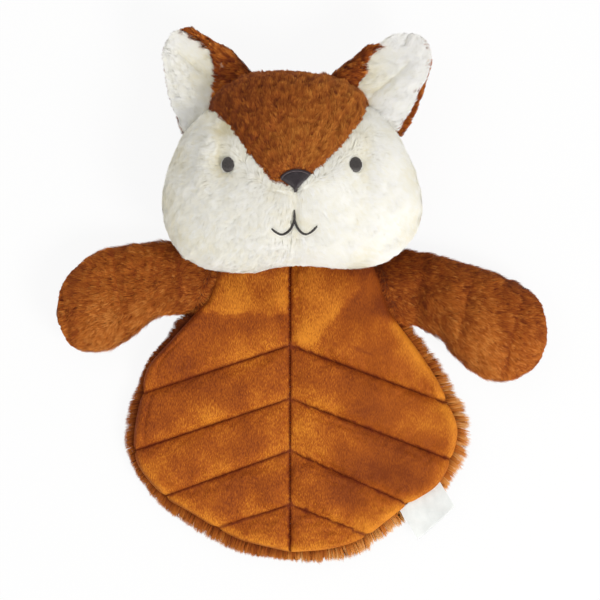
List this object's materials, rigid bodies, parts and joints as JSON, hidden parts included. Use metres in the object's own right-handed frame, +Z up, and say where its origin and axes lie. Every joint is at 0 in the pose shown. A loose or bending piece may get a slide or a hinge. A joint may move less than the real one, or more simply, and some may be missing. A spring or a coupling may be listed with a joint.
{
  "type": "plush fox comforter",
  "caption": "Flat-bodied plush fox comforter with a stuffed head, two stuffed arms, folded ears and a quilted leaf-veined velour front.",
  "frame": {"origin": "on the floor under the middle of the whole toy's box, the toy lying on its back", "axes": "+Y from the hem to the ears, +X to the viewer's right of the face, +Z up out of the face"},
  "size_m": [0.2698, 0.2898, 0.0752],
  "materials": {
    "rust_plush": "long-pile plush",
    "velour": "short-pile velour",
    "cream_plush": "long-pile plush",
    "grey_thread": "satin-stitched thread",
    "nose_thread": "satin-stitched thread",
    "satin_ribbon": "satin",
    "fibre_fill": "loose fibre"
  },
  "bodies": {
    "body": {"body_back_panel": "rust_plush", "body_wadding": "fibre_fill", "chest_left": "velour", "upper_band_left": "velour", "middle_band_left": "velour", "lower_band_left": "velour", "tip_band_left": "velour", "chest_right": "velour", "upper_band_right": "velour", "middle_band_right": "velour", "lower_band_right": "velour", "tip_band_right": "velour"},
    "head": {"head_stuffing": "fibre_fill", "forehead_panel": "rust_plush", "cheek_panel_left": "cream_plush", "cheek_panel_right": "cream_plush", "head_back_panel_left": "rust_plush", "head_back_panel_right": "rust_plush", "eye_left": "grey_thread", "eye_right": "grey_thread", "nose": "nose_thread", "mouth": "grey_thread"},
    "ear_left": {"ear_left_back": "rust_plush", "ear_left_lining": "cream_plush"},
    "ear_right": {"ear_right_back": "rust_plush", "ear_right_lining": "cream_plush"},
    "arm_left": {"arm_left_front": "rust_plush", "arm_left_back": "rust_plush", "arm_left_stuffing": "fibre_fill"},
    "arm_right": {"arm_right_front": "rust_plush", "arm_right_back": "rust_plush", "arm_right_stuffing": "fibre_fill"},
    "label": {"label": "satin_ribbon"}
  },
  "joints": [
    {"name": "neck_nod", "type": "hinge", "parent": "body", "child": "head", "pos_m": [-0.00608, 0.02752, 0.0055], "axis": [-1, 0, 0], "range_deg": [-30, 90]},
    {"name": "shoulder_left_lift", "type": "hinge", "parent": "body", "child": "arm_left", "pos_m": [-0.05125, 0.00585, 0.006], "axis": [0.3428, 0.9394, 0], "range_deg": [-45, 22]},
    {"name": "shoulder_right_lift", "type": "hinge", "parent": "body", "child": "arm_right", "pos_m": [0.04598, 0.00304, 0.006], "axis": [0.3169, -0.9484, 0], "range_deg": [-45, 22]},
    {"name": "ear_left_fold", "type": "hinge", "parent": "head", "child": "ear_left", "pos_m": [-0.04507, 0.10249, 0.0355], "axis": [0.7532, 0.6578, 0], "range_deg": [-30, 30], "stiffness_Nm_per_rad": 0.02},
    {"name": "ear_right_fold", "type": "hinge", "parent": "head", "child": "ear_right", "pos_m": [0.03495, 0.10181, 0.0355], "axis": [0.7671, -0.6415, 0], "range_deg": [-30, 30], "stiffness_Nm_per_rad": 0.02},
    {"name": "label_flip", "type": "hinge", "parent": "body", "child": "label", "pos_m": [0.06424, -0.11442, 0.0082], "axis": [-0.8623, -0.5063, 0], "range_deg": [0, 60], "stiffness_Nm_per_rad": 0.0006}
  ]
}
